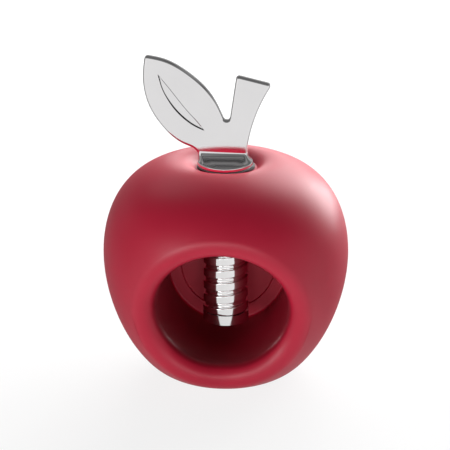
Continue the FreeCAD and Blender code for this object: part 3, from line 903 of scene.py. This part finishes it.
def screw_surface(turn, z):
    """The screw's radius for an angle round it and a height."""
    off_centre = ((z - screw_low) / pitch - turn / (2 * np.pi) + 0.5) % 1.0 - 0.5
    off_centre = off_centre * pitch
    groove = 0
    for shift in softening:
        away = np.abs(off_centre + shift * corner_softness)
        groove = groove + np.interp(away, groove_half_widths, (1.0, 0.0)) / len(softening)
    fade = np.clip((groove_top - z) / groove_runout, 0, 1)
    radius = screw_radius - groove_depth * groove * fade * fade * (3 - 2 * fade)
    chamfer = np.maximum(0, screw_low + end_chamfer - z)
    return np.minimum(radius, screw_radius - chamfer)


def screw_piece():
    flank = np.arange(0.42, 1.30, 0.08)
    half_turn = np.concatenate([[0.0, 0.2], flank, [1.4, 1.7, 2.1]]) * mm
    one_turn = np.concatenate([-half_turn[::-1], half_turn[1:], [pitch / 2]])
    first = screw_low - 2 * pitch
    count = int((screw_high - screw_low) / pitch) + 4
    rows = np.concatenate([first + k * pitch + one_turn for k in range(count)])
    turn = np.linspace(0, 2 * np.pi, screw_columns + 1)[None, :]
    z = np.clip(rows[:, None] + pitch * turn / (2 * np.pi), screw_low, screw_high)
    r = screw_surface(turn, z)
    work = Patchwork()
    work.grid(np.stack([r * np.cos(turn), r * np.sin(turn), z], -1), closed=False)
    turn = turn[0, :-1]
    for end, radius, mouth, bottom in (
        (screw_high, socket_radius, socket_mouth, socket_floor),
        (screw_low, foot_hole_radius, foot_hole_mouth, foot_hole_floor),
    ):
        steps_in = ((screw_surface(turn, end), end), (radius, mouth), (radius, bottom), (0.0, bottom))
        work.grid([np.stack([r * np.cos(turn), r * np.sin(turn), h + 0 * turn], -1) for r, h in steps_in])
    return mesh_piece("screw_thread", work, "spindle", screw_chrome, chrome_sharp)


screw = screw_piece()
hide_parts("spindle")

# %% [markdown]
# The small parts and the cavity keep the CAD's own shape, which is already right.  They get their
# finish by putting it in their material slots, which leaves their mesh untouched.

# %% Finishes for the CAD parts
node_finishes = {
    "cavity_core": cavity_lacquer_painted_light_and_shade,
    "press_foot": screw_chrome,
    "thread_bush": brass,
    "bush_dowel": steel,
    "ear_screws": steel,
    "base_screws": steel,
    "foot_screw": steel,
    "cross_pin": steel,
    "thrust_washer": nylon,
    "rubber_pad": rubber,
}
for name, finish in node_finishes.items():
    for slot in nodes[name].material_slots:
        slot.material = finish
    print(name, "->", finish.name)

# %% [markdown]
# The floor is a pale sheet.  For the camera most of it is plain white, and what is left of its real,
# lit colour keeps the soft shadow under the apple.  Polished metal and lacquer see a studio with a
# white half, in front and to the right, and a dark half.  That contrast draws the edges of a
# chromed plate, and it keeps the red clean along the left flank, where white would turn it pink.

# %% The floor
dark_half = 0.17
white_side = (0.10, -0.995, 0.0)
floor_white, bounce = 0.85, 0.35
floor_edge = (-20 * mm, 50 * mm)


def toward_white(finish, place, low, high):
    """0 in the dark half and 1 in the white half, by how far a place lies towards the white side."""
    sockets = {0: place, 1: white_side}
    side = finish.node("ShaderNodeVectorMath", {"operation": "DOT_PRODUCT"}, sockets, "Value")
    return finish.smooth_step(side, low, high)


def ray_kinds(finish):
    kinds = ("Is Camera Ray", "Is Glossy Ray", "Is Transmission Ray")
    return [finish.node("ShaderNodeLightPath", out=kind) for kind in kinds]


def pale_floor():
    finish = new_finish("pale_floor")
    camera_ray, glossy_ray, clear_ray = ray_kinds(finish)
    white_half = toward_white(finish, finish.place, *floor_edge)
    paper = finish.noise(60.0, 3.0)
    finish.set(
        Base_Color=finish.ramp(paper, (0.3, (0.80, 0.80, 0.80)), (0.7, (0.82, 0.82, 0.82))),
        Roughness=0.9,
    )
    soft_ray = 1 - camera_ray - glossy_ray - clear_ray
    mirrored = glossy_ray * finish.span(white_half, dark_half, 1.0)
    glow = camera_ray + clear_ray + mirrored + soft_ray * white_half
    seen = (camera_ray + clear_ray + glossy_ray) * floor_white + soft_ray * bounce
    dark = finish.node("ShaderNodeEmission", {}, {"Strength": 0.0})
    white = finish.node("ShaderNodeEmission", {}, {"Strength": 1.0})
    light = finish.node("ShaderNodeMixShader", {}, {0: glow, 1: dark, 2: white})
    paint = Wire(finish, finish.shader.outputs[0])
    mixed = finish.node("ShaderNodeMixShader", {}, {0: seen, 1: paint, 2: light})
    finish.feed(finish.tree.nodes["Material Output"], {"Surface": mixed})
    return finish.owner


floor_size = 6.0
bpy.ops.mesh.primitive_grid_add(x_subdivisions=8, y_subdivisions=8, size=floor_size)
floor = bpy.context.object
floor.name = "floor"
floor.data.materials.append(pale_floor())
print("floor:", floor_size, "m wide")

# %% [markdown]
# The room behind the floor is plain white for the camera.  Reflections see the same two halves as on
# the floor, under a dark ceiling with a few paler bands, and diffuse surfaces get a little even light
# from all round.

# %% The surroundings
ambient = 0.06
white_wall_edge, white_wall_top = (0.0, 0.4), (0.22, 0.36)
ceiling_tones = (
    (0.0, 0.17), (0.14, 0.55), (0.34, 0.30), (0.52, 0.10), (0.70, 0.32), (0.86, 0.07), (1.0, 0.20)
)


def studio_walls():
    scene.world = bpy.data.worlds.new("studio")
    air = Finish(scene.world)
    camera_ray, glossy_ray, clear_ray = ray_kinds(air)
    direction = air.node("ShaderNodeTexCoord", out="Generated")
    height = air.node("ShaderNodeSeparateXYZ", {}, {0: direction}, "Z")
    below_top = 1 - air.smooth_step(height, *white_wall_top)
    white_wall = toward_white(air, direction, *white_wall_edge) * below_top
    ceiling = air.ramp(height, *((place, (tone, tone, tone)) for place, tone in ceiling_tones))
    mirrored = glossy_ray * (white_wall * (1 - ceiling) + ceiling)
    diffuse = (1 - camera_ray - clear_ray - glossy_ray) * ambient
    strength = camera_ray + clear_ray + mirrored + diffuse
    air.feed(air.tree.nodes["Background"], {"Color": rgb(1, 1, 1), "Strength": strength})


studio_walls()
print("ambient light:", ambient)

# %% [markdown]
# Soft light comes from large rectangular lamps.  A level says how bright a white surface that faces
# the lamp would become, so the numbers can be read as an exposure.  The strong lamps stand behind.
# Those on the right graze the lacquer and give it its wide pale sheen.  The crown's lamp lights it
# without being mirrored, because a sheen there would wash out the red.  The polished handle only
# mirrors the room and is kept out of the lamps, or each would draw a white line along its edges.

# %% Lamps
target = Vector((0, 0, 0.045))
lamp_distance, lamp_width = 0.9, 0.5
kept_out = bpy.data.collections.new("kept_out_of_lamp_light")
kept_out.objects.link(handle)
kept_out.collection_objects[0].light_linking.link_state = "EXCLUDE"


def place_round(pivot, azimuth, elevation, distance):
    """A place seen from the pivot: azimuth 0 is in front and 90 is on the right."""
    a, e = math.radians(azimuth), math.radians(elevation)
    return pivot + distance * Vector((math.sin(a) * math.cos(e), -math.cos(a) * math.cos(e), math.sin(e)))


def facing(thing, place, aim):
    thing.location = place
    thing.rotation_euler = (aim - place).to_track_quat("-Z", "Y").to_euler()


def softbox(name, azimuth, elevation, level, height=0.5):
    lamp = bpy.data.lights.new(name, "AREA")
    lamp.shape = "RECTANGLE"
    lamp.size, lamp.size_y = lamp_width, height
    lamp.energy = level * math.pi ** 2 * lamp_distance ** 2
    holder = bpy.data.objects.new(name, lamp)
    scene.collection.objects.link(holder)
    facing(holder, place_round(target, azimuth, elevation, lamp_distance), target)
    holder.light_linking.receiver_collection = kept_out
    holder.light_linking.blocker_collection = kept_out
    print(name, "level", level)
    return holder


softbox("left_softbox", -36, 5, 0.39, height=0.16)
softbox("front_softbox", 4, 3, 0.18, height=0.12)
softbox("right_softbox", 138, 16, 0.95)
softbox("high_right_softbox", 150, 38, 0.50)
softbox("back_softbox", 178, 20, 0.22).light_linking.blocker_collection = None
softbox("crown_softbox", 178, 26, 1.25).visible_glossy = False
softbox("back_left_softbox", -140, 50, 0.10)

# %% [markdown]
# The camera stands a little to the right and looks down on the apple.  It stands far off with a long
# lens, so that the shape keeps its proportions.

# %% Camera
camera_pivot = Vector((0, 0, 0.042))
camera_azimuth, camera_elevation, camera_distance = 3, 21.5, 0.6
camera_aim = Vector((-0.0006, 0.0053, 0.0555))
camera_data = bpy.data.cameras.new("camera")
camera_data.sensor_width = 36.0
camera_data.lens = 129.7
camera = bpy.data.objects.new("camera", camera_data)
scene.collection.objects.link(camera)
scene.camera = camera
facing(camera, place_round(camera_pivot, camera_azimuth, camera_elevation, camera_distance), camera_aim)
print("camera at", [round(v, 3) for v in camera.location])
